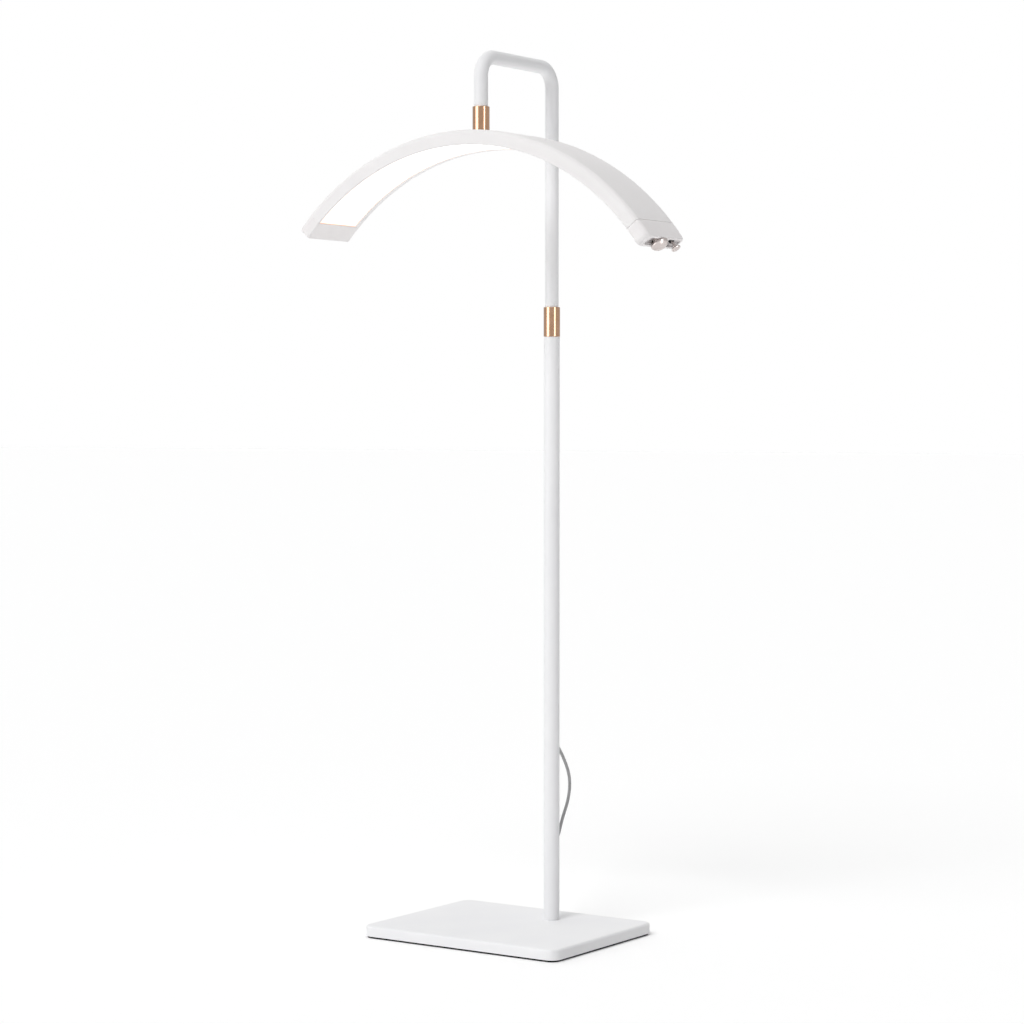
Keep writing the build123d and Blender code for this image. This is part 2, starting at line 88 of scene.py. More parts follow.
def add_node(tree, kind, inputs=None, **settings):
    """Adds a node. Settings are its properties; inputs are socket values or sockets to link."""
    made = tree.nodes.new(kind)
    for name, value in settings.items():
        setattr(made, name, value)
    for socket, value in (inputs or {}).items():
        if isinstance(value, bpy.types.NodeSocket):
            tree.links.new(value, made.inputs[socket])
        else:
            made.inputs[socket].default_value = value
    return made


def start_material(name, colour, **shader_values):
    """A Principled material with its constants set on the shader's own sockets."""
    material = bpy.data.materials.new(name)
    material.use_nodes = True
    tree = material.node_tree
    shader = tree.nodes["Principled BSDF"]
    shader.inputs["Base Color"].default_value = linear(colour)
    for socket, value in shader_values.items():
        shader.inputs[socket.replace("_", " ")].default_value = value
    material.diffuse_color = linear(colour)
    place = add_node(tree, "ShaderNodeTexCoord").outputs["Object"]
    return material, tree, shader, place


def per_metre(millimetres):
    """Texture scale for a feature of this size, on coordinates in metres."""
    return 1.0 / (millimetres * MM)


def ramp(tree, factor, low, high, at=(0.3, 0.7)):
    """Colour between two hex values, as the factor runs between two stops."""
    made = add_node(tree, "ShaderNodeValToRGB", {"Fac": factor})
    made.color_ramp.elements[0].color = linear(low)
    made.color_ramp.elements[0].position = at[0]
    made.color_ramp.elements[1].color = linear(high)
    made.color_ramp.elements[1].position = at[1]
    return made.outputs["Color"]


def spread(tree, factor, low, high):
    """The factor's 0..1 moved to a range of roughness."""
    made = add_node(tree, "ShaderNodeMapRange", {"Value": factor, "To Min": low, "To Max": high})
    return made.outputs["Result"]


# %% [markdown]
# ## Paint and moulded plastic
# The base and tubes are steel with a white polyester **powder coat**. It is sprayed as dry powder
# and melted in an oven, so it flows into a soft skin with a faint orange peel, and its gloss
# drifts a little from place to place. The head is **lacquered aluminium**, finer and a touch
# glossier. The end caps are **moulded ABS** with the fine grain of a spark-eroded mould.


# %% paint-like finishes
def coated(name, colours, roughness, peel_mm, peel_depth_mm, drift_mm, **shader_values):
    """A pale skin: colour and gloss drift slowly, and a fine peel catches the highlights."""
    material, tree, shader, place = start_material(name, colours[0], **shader_values)
    drift = add_node(
        tree, "ShaderNodeTexNoise", {"Vector": place, "Scale": per_metre(drift_mm), "Detail": 3.0}
    ).outputs["Fac"]
    peel = add_node(
        tree, "ShaderNodeTexNoise", {"Vector": place, "Scale": per_metre(peel_mm), "Detail": 4.0}
    ).outputs["Fac"]
    tree.links.new(ramp(tree, drift, *colours), shader.inputs["Base Color"])
    tree.links.new(spread(tree, drift, *roughness), shader.inputs["Roughness"])
    bump = add_node(
        tree, "ShaderNodeBump", {"Height": peel, "Strength": 0.6, "Distance": peel_depth_mm * MM}
    )
    tree.links.new(bump.outputs["Normal"], shader.inputs["Normal"])
    return material


finishes = {
    # Polyester powder over steel: silk matt, with a 1.6 mm orange peel.
    "white_powder_coat": coated(
        "polyester_powder_coat", ("E9E9EB", "ECECED"), (0.48, 0.56), 1.6, 0.02, 90.0, IOR=1.5
    ),
    # Acrylic lacquer on extruded aluminium: smoother, so highlights along the arch stay soft but
    # whole.
    "white_head_paint": coated(
        "acrylic_lacquer_on_aluminium", ("E9E7E7", "ECEAEA"), (
            0.6,
            0.68,
        ), 1.1, 0.015, 60.0, IOR=1.49
    ),
    # ABS from a spark-eroded mould: matt, with a 0.7 mm grain.
    "white_cap_plastic": coated(
        "moulded_abs_white", ("E9E6E6", "ECE9E9"), (0.6, 0.68), 0.7, 0.02, 30.0, IOR=1.53
    ),
    # Natural nylon bushes and guides: milky and waxy.
    "nylon": coated(
        "natural_nylon", ("D9D6CC", "E0DDD4"), (0.38, 0.5), 0.8, 0.015, 12.0, IOR=1.53
    ),
    # Nylon washer under the swivel, coloured dark as painted shade for the gap under the collar;
    # dull.
    "dark_nylon": coated(
        "dark_nylon_painted_shade", ("2A2929", "333232"), (0.5, 0.62), 0.5, 0.02, 6.0, IOR=1.53
    ),
    "black_plastic": coated(
        "moulded_abs_black", ("121213", "191919"), (0.38, 0.5), 0.6, 0.02, 15.0, IOR=1.53
    ),
    # Soft thermoplastic rubber of the cable grommets.
    "grommet_rubber": coated(
        "tpe_rubber_grey", ("B4B3B2", "BDBCBB"), (0.55, 0.7), 0.5, 0.02, 8.0, IOR=1.5
    ),
    # PVC cable jacket: smooth, slightly glossy grey with drawn-over dust.
    "grey_cable": coated(
        "pvc_cable_jacket", ("9C9C9E", "A6A6A7"), (0.38, 0.5), 0.9, 0.02, 18.0, IOR=1.53
    ),
    # Solder mask on the light boards.
    "board": coated(
        "solder_mask_white", ("DDDDD8", "E4E4E0"), (0.3, 0.4), 0.6, 0.01, 10.0, IOR=1.55
    ),
}
print("paint and plastic finishes:", len(finishes))

# %% [markdown]
# ## Foam
# The underside carries a sheet of EVA foam, made black so that it also paints the contact shadow
# along the base's bottom edge. Its closed cells are about a millimetre across and show as small
# pits, which a Voronoi pattern gives.


# %% foam
def closed_cell_foam_painted_contact_shade():
    """Black EVA foam with 1.1 mm cells; its black is partly painted contact shade under the base."""
    # The near-black colour 161617 also stands for painted contact shade along the base's bottom
    # edge.
    material, tree, shader, place = start_material("eva_foam_black_painted_contact_shade", "161617", IOR=1.46)
    cells = add_node(tree, "ShaderNodeTexVoronoi", {"Vector": place, "Scale": per_metre(1.1)})
    bump = add_node(
        tree,
        "ShaderNodeBump",
        {"Height": cells.outputs["Distance"], "Strength": 0.8, "Distance": 0.12 * MM},
    )
    tree.links.new(
        ramp(
            tree, cells.outputs["Distance"], "1C1C1D", "0F0F10", (0.1, 0.9)
        ), shader.inputs["Base Color"]
    )
    tree.links.new(spread(tree, cells.outputs["Distance"], 0.8, 0.95), shader.inputs["Roughness"])
    tree.links.new(bump.outputs["Normal"], shader.inputs["Normal"])
    return material


finishes["pad_foam"] = closed_cell_foam_painted_contact_shade()
print("foam cells: 1.1 mm")

# %% [markdown]
# ## Metals
# The two collars are **brass turned on a lathe** and lacquered: fine marks run round them, so the
# pattern changes quickly along the axis and slowly across it. The dimmer and toggle are **satin
# nickel plate**. Inside are zinc-plated screws, rolled steel and mill-finish aluminium, each with
# marks that run the way it was made. A metal keeps the shader's default IOR.


# %% metal finishes
def metal(name, colours, roughness, mark_mm, depth_mm, **shader_values):
    """A bare metal whose marks have their own size along x, y and z, in millimetres."""
    material, tree, shader, place = start_material(name, colours[0], Metallic=1.0, **shader_values)
    stretched = add_node(
        tree, "ShaderNodeMapping", {
            "Vector": place, "Scale": [per_metre(size) for size in mark_mm]
        }
    ).outputs["Vector"]
    marks = add_node(
        tree, "ShaderNodeTexNoise", {
            "Vector": stretched, "Scale": 1.0, "Detail": 3.0, "Roughness": 0.6
        }
    ).outputs["Fac"]
    patina = add_node(
        tree, "ShaderNodeTexNoise", {"Vector": place, "Scale": per_metre(9.0), "Detail": 3.0}
    ).outputs["Fac"]
    tree.links.new(ramp(tree, patina, *colours), shader.inputs["Base Color"])
    tree.links.new(spread(tree, marks, *roughness), shader.inputs["Roughness"])
    bump = add_node(
        tree, "ShaderNodeBump", {"Height": marks, "Strength": 0.5, "Distance": depth_mm * MM}
    )
    tree.links.new(bump.outputs["Normal"], shader.inputs["Normal"])
    return material


finishes |= {
    # Turned brass under clear lacquer: marks 0.35 mm apart along the axis, endless round it.
    "brushed_brass": metal(
        "turned_lacquered_brass", ("C89E7E", "CFA688"), (0.14, 0.2), (
            60,
            60,
            0.35,
        ), 0.004, Coat_Weight=0.4
    ),
    # Satin nickel: blasted before plating, so its grain is even.
    "satin_nickel": metal(
        "satin_nickel_plate", ("CDC3C0", "D4CBC8"), (0.26, 0.34), (0.4, 0.4, 0.4), 0.002
    ),
    "raw_steel": metal(
        "rolled_mild_steel", ("6E6E70", "818184"), (0.4, 0.55), (40, 0.8, 0.8), 0.01
    ),
    "zinc_steel": metal(
        "bright_zinc_plate", ("AEB3B8", "BDC1C4"), (0.25, 0.38), (1.2, 1.2, 1.2), 0.008
    ),
    "aluminium": metal(
        "mill_finish_aluminium", ("BFC1C3", "CBCCCD"), (0.32, 0.45), (50, 0.6, 50), 0.008
    ),
}
print("metal finishes: 5")

# %% [markdown]
# ## Light
# The light panel is **opal acrylic**: the diodes behind it are spread until it glows evenly. A
# painted warm glow runs along its rim, standing in for light on the housing's inner edge: the
# panel's mesh carries a value, `rim`, that is one at its edge, and the glow runs from white to warm
# with it. The diodes are a white package with a cap of yellow phosphor.


# %% glowing finishes
def opal_acrylic_with_painted_warm_rim():
    """Opal sheet, lit from behind, with a painted warm glow at its rim."""
    material, tree, shader, place = start_material(
        "opal_acrylic_painted_warm_rim", "FBFAF7", IOR=1.49, Roughness=0.32, Emission_Strength=0.7
    )
    # rim is one at the panel's edge; it masks the painted warm glow.
    rim = add_node(tree, "ShaderNodeAttribute", attribute_name="rim").outputs["Fac"]
    grain = add_node(
        tree, "ShaderNodeTexNoise", {"Vector": place, "Scale": per_metre(0.9), "Detail": 2.0}
    ).outputs["Fac"]
    bump = add_node(
        tree, "ShaderNodeBump", {"Height": grain, "Strength": 0.3, "Distance": 0.01 * MM}
    )
    # The orange FFA868 at the rim is painted glow, standing in for light on the housing's inner
    # edge.
    tree.links.new(
        ramp(tree, rim, "FFFEFA", "FFA868", (0.05, 0.95)), shader.inputs["Emission Color"]
    )
    tree.links.new(bump.outputs["Normal"], shader.inputs["Normal"])
    return material


def phosphor():
    """Diode package: yellow phosphor in silicone, finely mottled, glowing."""
    material, tree, shader, place = start_material(
        "silicone_phosphor", "F2D77A", IOR=1.41, Roughness=0.35, Emission_Strength=1.5
    )
    grain = add_node(
        tree, "ShaderNodeTexNoise", {"Vector": place, "Scale": per_metre(0.5), "Detail": 2.0}
    ).outputs["Fac"]
    tree.links.new(ramp(tree, grain, "EBCB66", "F7E08C"), shader.inputs["Base Color"])
    tree.links.new(ramp(tree, grain, "FFF0C8", "FFF7E0"), shader.inputs["Emission Color"])
    return material


finishes["opal_diffuser"] = opal_acrylic_with_painted_warm_rim()
finishes["led"] = phosphor()
for part in frame["record"]["subparts"]:
    mesh = frame["nodes"][part["node"]].data
    mesh.materials.clear()
    mesh.materials.append(finishes[part["material_slot"]])
print("finishes in all:", len(finishes))

# %% [markdown]
# ## Drawing tools
# Nearly every piece of this lamp is a stack of rings: a slab is a rounded rectangle at several
# heights, a collar is a profile turned about an axis, an end cap is a section that narrows along
# the arch. So one function rounds the corners of an outline and one skins a list of rings.


# %% outlines and rings
def rounded(corners, steps):
    """Closed outline from (x, y, radius) corners; each rounded corner gets steps + 1 points."""
    outline = []
    for index, (x, y, radius) in enumerate(corners):
        here = Vector((x, y))
        back = (Vector(corners[index - 1][:2]) - here).normalized()
        ahead = (Vector(corners[(index + 1) % len(corners)][:2]) - here).normalized()
        if radius <= 0:
            outline.append(here)
            continue
        half = back.angle(ahead) / 2
        centre = here + (back + ahead).normalized() * (radius / math.sin(half))
        start = here + back * (radius / math.tan(half)) - centre
        end = here + ahead * (radius / math.tan(half)) - centre
        turn = math.atan2(start.x * end.y - start.y * end.x, start.dot(end))
        for step in range(steps + 1):
            angle = turn * step / steps
            outline.append(
                centre
                + Vector(
                    (
                        start.x * math.cos(angle) - start.y * math.sin(angle),
                        start.x * math.sin(angle) + start.y * math.cos(angle),
                    )
                )
            )
    return outline


def skin(rings, loop=False):
    """Mesh data through equally long rings; a loop closes on itself, else the ends are capped."""
    work = bmesh.new()
    grid = [[work.verts.new(point) for point in ring] for ring in rings]
    pairs = list(zip(grid, grid[1:]))
    if loop:
        pairs.append((grid[-1], grid[0]))
    for lower, upper in pairs:
        for i, corner in enumerate(lower):
            j = (i + 1) % len(lower)
            work.faces.new((corner, lower[j], upper[j], upper[i]))
    if not loop:
        work.faces.new(list(reversed(grid[0])))
        work.faces.new(grid[-1])
    bmesh.ops.remove_doubles(work, verts=work.verts, dist=0.002 * MM)
    bmesh.ops.recalc_face_normals(work, faces=work.faces)
    return work


def turned(outline, steps, centre=(0, 0), loop=True):
    """Rings of an (radius, height) outline turned about an upright axis."""
    directions = [
        (math.cos(2 * math.pi * k / steps), math.sin(2 * math.pi * k / steps))
        for k in range(steps)
    ]
    return skin(
        [
            [(centre[0] + radius * c, centre[1] + radius * s, height) for c, s in directions]
            for radius, height in outline
        ],
        loop,
    )


# %% [markdown]
# A finished piece is smooth-shaded with its real edges kept sharp. Weighted normals let large flat
# faces stay flat beside their small rounded edges. The piece then rides on its moving body, stands
# for the plain parts that it replaces and takes its finish.


# %% finishing a piece
def bake(piece):
    """Turns a piece's modifiers into plain mesh data."""
    evaluated = piece.evaluated_get(bpy.context.evaluated_depsgraph_get())
    result = bpy.data.meshes.new_from_object(evaluated)
    piece.modifiers.clear()
    piece.data = result


def finish_piece(name, source, body, slot, *stands_for, sharp=35.0):
    """Names, shades and places a piece made in bmesh, or one that is an object already."""
    if isinstance(source, bmesh.types.BMesh):
        mesh = bpy.data.meshes.new(name)
        source.to_mesh(mesh)
        source.free()
        piece = bpy.data.objects.new(name, mesh)
        scene.collection.objects.link(piece)
    else:
        piece = source
        piece.name = name
    piece.data.materials.clear()
    piece.data.materials.append(finishes[slot])
    piece.data.shade_smooth()
    piece.data.set_sharp_from_angle(angle=math.radians(sharp))
    weighting = piece.modifiers.new("even_flats", "WEIGHTED_NORMAL")
    weighting.keep_sharp = True
    bake(piece)
    piece.data.name = name
    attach(piece, body)
    if stands_for:
        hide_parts(*stands_for)
    print(name, len(piece.data.polygons), "faces, on", body)
    return piece


# %% [markdown]
# ## Base
# The base is a pressed steel cover over a ballast plate: 364 by 284 mm, 17 mm corners and a 4 mm
# rolled top edge. The skin goes up the outside, in over the top to the pole's hole, and back down
# inside, so it is a real shell with a wall.

# %% base cover
BASE_LENGTH, BASE_DEPTH = 364.0, 284.0
BASE_CENTRE = (145.0 - BASE_LENGTH / 2, 74.0 - BASE_DEPTH / 2)
BASE_CORNER, BASE_EDGE, BASE_TOP = 17.0, 4.0, 19.5
COVER_WALL, PAD_THICKNESS, PAD_INSET = 2.5, 3.0, 2.5
POLE_RADIUS = 12.5
CORNER_STEPS, EDGE_STEPS = 12, 8


def slab_ring(inset, height):
    """Rounded rectangle of the base, shrunk by an inset, at a height."""
    x, y = BASE_LENGTH / 2 - inset, BASE_DEPTH / 2 - inset
    radius = BASE_CORNER - inset
    outline = rounded(
        [(x, y, radius), (-x, y, radius), (-x, -y, radius), (x, -y, radius)], CORNER_STEPS
    )
    return [
        ((BASE_CENTRE[0] + p.x) * MM, (BASE_CENTRE[1] + p.y) * MM, height * MM) for p in outline
    ]


def ring_round_pole(outer, radius, height):
    """Circle about the pole with a point for each point of an outer ring, at the same bearing."""
    bearings = [math.atan2(y, x) for x, y, _ in outer]
    return [(radius * MM * math.cos(a), radius * MM * math.sin(a), height * MM) for a in bearings]


rolled = [
    (BASE_EDGE * (1 - math.cos(a)), BASE_TOP - BASE_EDGE * (1 - math.sin(a)))
    for a in (math.pi / 2 * step / EDGE_STEPS for step in range(EDGE_STEPS + 1))
]
cover_rings = [slab_ring(0.3, PAD_THICKNESS), slab_ring(0, PAD_THICKNESS + 0.3)]
cover_rings += [slab_ring(inset, height) for inset, height in rolled]
cover_rings.append(slab_ring(BASE_EDGE + 1, BASE_TOP))
cover_rings += [
    ring_round_pole(cover_rings[-1], POLE_RADIUS + 0.1, height) for height in (
        BASE_TOP, BASE_TOP - COVER_WALL
    )
]
cover_rings += [slab_ring(COVER_WALL, height) for height in (BASE_TOP - COVER_WALL, PAD_THICKNESS)]
finish_piece("base_shell", skin(cover_rings, loop=True), "base", "white_powder_coat", "base_cover")

pad_rings = [
    slab_ring(PAD_INSET + inset, height) for inset, height in (
        (0.6, 0), (0.1, 0.4), (0, 1.0), (0, PAD_THICKNESS)
    )
]
finish_piece("foam_pad", skin(pad_rings), "base", "pad_foam", "anti_slip_pad")

# %% [markdown]
# ## Screws under the base
# Six countersunk screws hold the underplate. One screw is drawn, and Geometry Nodes put a copy of
# it on each of the six points. The tree ends in Realize Instances and Set Material, and the result
# is baked into one mesh.


# %% geometry node helpers
def new_tree(name, *inputs):
    """A Geometry Nodes tree, its group input and output, and named inputs (name, kind, value)."""
    tree = bpy.data.node_groups.new(name, "GeometryNodeTree")
    tree.interface.new_socket("Geometry", in_out="INPUT", socket_type="NodeSocketGeometry")
    tree.interface.new_socket("Geometry", in_out="OUTPUT", socket_type="NodeSocketGeometry")
    for label, kind, value in inputs:
        made = tree.interface.new_socket(label, in_out="INPUT", socket_type=kind)
        if value is not None:
            made.default_value = value
    return tree, add_node(tree, "NodeGroupInput").outputs


def close_tree(tree, geometry, material):
    """Ends a tree in Realize Instances and Set Material."""
    real = add_node(
        tree, "GeometryNodeRealizeInstances", {"Geometry": geometry}
    ).outputs["Geometry"]
    painted = add_node(tree, "GeometryNodeSetMaterial", {"Geometry": real, "Material": material})
    add_node(tree, "NodeGroupOutput", {"Geometry": painted.outputs["Geometry"]})


def grow(name, start_mesh, tree, **values):
    """An object whose mesh is fed through a tree, with inputs set by identifier, then baked."""
    piece = bpy.data.objects.new(name, start_mesh)
    scene.collection.objects.link(piece)
    modifier = piece.modifiers.new(tree.name, "NODES")
    modifier.node_group = tree
    by_name = {
        item.name: item.identifier for item in tree.interface.items_tree if item.in_out == "INPUT"
    }
    for label, value in values.items():
        modifier[by_name[label.replace("_", " ")]] = value
    bake(piece)
    return piece


# %% the screws
SCREW_HEAD, SCREW_SHANK, SCREW_LENGTH = 3.4, 2.0, 9.0
BOSS_INSET = 6.6
screw_profile = [
    (0, 0), (SCREW_HEAD - 0.2, 0), (SCREW_HEAD, 0.15), (SCREW_SHANK, SCREW_HEAD - SCREW_SHANK),
    (SCREW_SHANK, SCREW_LENGTH - 0.6), (SCREW_SHANK - 0.6, SCREW_LENGTH), (0, SCREW_LENGTH),
]
screw = turned([(r * MM, z * MM) for r, z in screw_profile], 24, loop=False)
screw_mesh = bpy.data.meshes.new("countersunk_screw")
screw.to_mesh(screw_mesh)
screw.free()
screw_model = bpy.data.objects.new("countersunk_screw", screw_mesh)

tree, group = new_tree(
    "copies_on_points",
    ("Copy", "NodeSocketObject", None),
    ("Material", "NodeSocketMaterial", None),
)
model = add_node(tree, "GeometryNodeObjectInfo", {"Object": group["Copy"]}).outputs["Geometry"]
placed = add_node(
    tree, "GeometryNodeInstanceOnPoints", {"Points": group["Geometry"], "Instance": model}
)
close_tree(tree, placed.outputs["Instances"], group["Material"])

inner_x = BASE_LENGTH / 2 - COVER_WALL - BOSS_INSET
inner_y = BASE_DEPTH / 2 - COVER_WALL - 2 * BASE_CORNER
screw_points = bpy.data.meshes.new("screw_points")
screw_points.from_pydata(
    [
        (
            (BASE_CENTRE[0] + side * inner_x) * MM,
            (BASE_CENTRE[1] + row * inner_y) * MM,
            PAD_THICKNESS * MM,
        )
        for side in (-1, 1)
        for row in (-1, 0, 1)
    ],
    [],
    [],
)
screws = grow("screws", screw_points, tree, Copy=screw_model, Material=finishes["zinc_steel"])
finish_piece("underside_screws", screws, "base", "zinc_steel", "base_screws")
bpy.data.objects.remove(screw_model)

# %% [markdown]
# ## Pole
# The lower tube is a stock 25 mm steel tube with a turned-down seat at the top for the clamp. Two
# slots in its back let the cable out and in again. They are cut with a boolean, and each is lined
# with a soft grommet whose flange follows the tube's curve.

# %% lower tube
TUBE_FOOT, TUBE_TOP, SEAT_TOP = 16.3, 945.4, 967.4
SEAT_RADIUS, TUBE_BORE = 12.0, 11.0
ROUND_STEPS = 96
tube_profile = [
    (POLE_RADIUS, TUBE_FOOT), (POLE_RADIUS, TUBE_TOP - 0.4), (POLE_RADIUS - 0.12, TUBE_TOP - 0.12),
    (POLE_RADIUS - 0.4, TUBE_TOP), (SEAT_RADIUS, TUBE_TOP), (SEAT_RADIUS, SEAT_TOP - 0.3),
    (SEAT_RADIUS - 0.3, SEAT_TOP), (TUBE_BORE, SEAT_TOP), (TUBE_BORE, TUBE_FOOT),
]
tube_shell = turned([(r * MM, z * MM) for r, z in tube_profile], ROUND_STEPS)
tube_mesh = bpy.data.meshes.new("lower_tube")
tube_shell.to_mesh(tube_mesh)
tube_shell.free()
lower_tube = bpy.data.objects.new("lower_tube", tube_mesh)
scene.collection.objects.link(lower_tube)

CORD_ROUTE = [
    (0, 11.4, 300.5), (0, 21.0, 290.8), (0, 36.5, 271.5), (0, 50.5, 248.0), (0, 53.5, 225.5),
    (0, 46.5, 201.5), (0, 33.5, 181.5), (0, 25.5, 165.5), (0, 19.5, 151.5), (0, 11.4, 141.0),
]
SLOT_WIDTH, SLOT_HEIGHT = 10.0, 17.0
hole_heights = [0.875 * near[2] + 0.125 * next_point[2] for near, next_point in (
    (CORD_ROUTE[0], CORD_ROUTE[1]), (CORD_ROUTE[-1], CORD_ROUTE[-2]))]


def slot_ring(height, offset, radius):
    """Stadium outline on the tube's back, grown by an offset, laid on a cylinder of a radius."""
    half_width = SLOT_WIDTH / 2 + offset
    half_height = SLOT_HEIGHT / 2 + offset
    corners = [
        (sx * half_width, sz * half_height, half_width * 0.999)
        for sx, sz in ((1, 1), (-1, 1), (-1, -1), (1, -1))
    ]
    return [
        (p.x * MM, math.sqrt(radius**2 - p.x**2) * MM, (height + p.y) * MM) for p in rounded(
            corners,
            10,
        )
    ]


for index, height in enumerate(hole_heights):
    knife_mesh = bpy.data.meshes.new("slot_knife")
    knife = skin([slot_ring(height, 0, radius) for radius in (TUBE_BORE - 2, POLE_RADIUS + 2)])
    knife.to_mesh(knife_mesh)
    knife.free()
    knife_object = bpy.data.objects.new("slot_knife", knife_mesh)
    scene.collection.objects.link(knife_object)
    cut = lower_tube.modifiers.new("slot", "BOOLEAN")
    cut.object = knife_object
    cut.solver = "EXACT"
    bake(lower_tube)
    bpy.data.objects.remove(knife_object)
finish_piece("pole_lower_tube", lower_tube, "base", "white_powder_coat", "lower_tube")

# %% the grommets
GROMMET_STEPS = [
    (-4.4, TUBE_BORE), (-0.1, TUBE_BORE), (-0.1, POLE_RADIUS + 0.05), (1.4, POLE_RADIUS + 0.1),
    (1.5, POLE_RADIUS + 0.6), (1.2, POLE_RADIUS + 1.1), (0.7, POLE_RADIUS + 1.25), (
        0.0, POLE_RADIUS + 1.2
    ),
    (-0.8, POLE_RADIUS + 0.9), (-1.4, POLE_RADIUS + 0.4), (-4.4, POLE_RADIUS + 0.3),
]
for name, height in zip(("upper", "lower"), hole_heights):
    lining = skin([slot_ring(height, offset, radius) for offset, radius in GROMMET_STEPS])
    finish_piece(
        f"cable_grommet_{name}", lining, "base", "grommet_rubber", f"grommet_{name}", sharp=60.0
    )

# %% [markdown]
# ## Cable loop
# A short run of round PVC cable leaves the upper slot, bows out behind the pole and goes back in
# at the lower one, which leaves slack for the height slide. It is one smooth NURBS line through
# the route of the real part, with a round section.

# %% cable
cable_curve = bpy.data.curves.new("cable_loop", "CURVE")
cable_curve.dimensions = "3D"
cable_curve.bevel_depth = 2.5 * MM
cable_curve.bevel_resolution = 8
cable_curve.resolution_u = 16
cable_curve.use_fill_caps = True
spline = cable_curve.splines.new("NURBS")
spline.points.add(len(CORD_ROUTE) - 1)
for point, (x, y, z) in zip(spline.points, CORD_ROUTE):
    point.co = (x * MM, y * MM, z * MM, 1.0)
spline.order_u = 3
spline.use_endpoint_u = True
cable_curve.materials.append(finishes["grey_cable"])
cable = bpy.data.objects.new("cable", cable_curve)
scene.collection.objects.link(cable)
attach(cable, "base")
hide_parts("cable_loop")
print("cable route points:", len(CORD_ROUTE))

# %% [markdown]
# ## Brass collars
# The lower collar turns to clamp the upper tube. The upper one covers the swivel. Both are turned
# from bar with small rounded rims, so both are one profile spun about an axis.

# %% collars
ARM_REACH = 194.5
MAST_RADIUS, MAST_BORE = 10.65, 9.45
COLLAR_RADIUS = 13.0


def collar_outline(low, high, bores, rim):
    """Closed outline of a collar; bores are (radius, height) corners inside, from the top down."""
    corners = [(COLLAR_RADIUS, low, rim), (COLLAR_RADIUS, high, rim)]
    corners += [(radius, height, 0) for radius, height in bores]
    return [(p.x * MM, p.y * MM) for p in rounded(corners, 6)]


lock_low, lock_high = 945.7, 992.1
lock_outline = collar_outline(
    lock_low,
    lock_high,
    [
        (MAST_RADIUS + 0.3, lock_high),
        (MAST_RADIUS + 0.3, lock_high - 2),
        (12.1, lock_high - 2),
        (12.1, lock_low),
    ],
    0.4,
)
finish_piece(
    "height_lock_collar",
    turned(lock_outline, ROUND_STEPS),
    "lock_collar",
    "brushed_brass",
    "lock_collar",
)

swivel_low, swivel_high = 1252.0, 1289.0
swivel_outline = collar_outline(
    swivel_low, swivel_high, [
        (MAST_RADIUS + 0.05, swivel_high), (MAST_RADIUS + 0.05, swivel_low)
    ], 0.5
)
finish_piece(
    "swivel_cover_collar",
    turned(swivel_outline, ROUND_STEPS, centre=(0, -ARM_REACH * MM)),
    "mast",
    "brushed_brass",
    "swivel_collar",
)

# %% [markdown]
# ## Upper tube
# One tube slides out of the pole, bends over into the arm and bends down again to the swivel. Its
# shape is a rule, a round section along a path with two bends, so Geometry Nodes make it: three
# straight runs, Fillet Curve for the 32 mm bends, and Curve to Mesh for the outer and inner wall.

# %% upper tube
MAST_FOOT, ARM_HEIGHT, DROP_END = 560.0, 1366.7, 1264.0
BEND_RADIUS, BEND_STEPS = 32.0, 24

tree, group = new_tree(
    "bent_tube",
    ("Bend Radius", "NodeSocketFloat", 0.032),
    ("Bend Steps", "NodeSocketInt", 24),
    ("Outer Radius", "NodeSocketFloat", 0.01),
    ("Inner Radius", "NodeSocketFloat", 0.009),
    ("Round Steps", "NodeSocketInt", 64),
    ("Material", "NodeSocketMaterial", None),
)
runs = add_node(tree, "GeometryNodeMeshToCurve", {"Mesh": group["Geometry"]}).outputs["Curve"]
bent = add_node(
    tree,
    "GeometryNodeFilletCurve",
    {"Curve": runs, "Radius": group["Bend Radius"], "Count": group["Bend Steps"]},
    mode="POLY",
).outputs["Curve"]
walls = []
for label in ("Outer Radius", "Inner Radius"):
    circle = add_node(
        tree,
        "GeometryNodeCurvePrimitiveCircle",
        {"Resolution": group["Round Steps"], "Radius": group[label]},
        mode="RADIUS",
    ).outputs["Curve"]
    walls.append(
        add_node(
            tree, "GeometryNodeCurveToMesh", {"Curve": bent, "Profile Curve": circle}
        ).outputs["Mesh"]
    )
both = add_node(tree, "GeometryNodeJoinGeometry")
for wall in walls:
    tree.links.new(wall, both.inputs["Geometry"])
close_tree(tree, both.outputs["Geometry"], group["Material"])

cane_line = bpy.data.meshes.new("cane_line")
cane_line.from_pydata(
    [
        (0, 0, MAST_FOOT * MM),
        (0, 0, ARM_HEIGHT * MM),
        (0, -ARM_REACH * MM, ARM_HEIGHT * MM),
        (0, -ARM_REACH * MM, DROP_END * MM),
    ],
    [(0, 1), (1, 2), (2, 3)],
    [],
)
upper_tube = grow(
    "upper_tube",
    cane_line,
    tree,
    Bend_Radius=BEND_RADIUS * MM,
    Bend_Steps=BEND_STEPS,
    Outer_Radius=MAST_RADIUS * MM,
    Inner_Radius=MAST_BORE * MM,
    Round_Steps=ROUND_STEPS,
    Material=finishes["white_powder_coat"],
)

# %% [markdown]
# The two walls are still separate sleeves. Bridging their rims at each end closes them into one
# tube with a real wall.

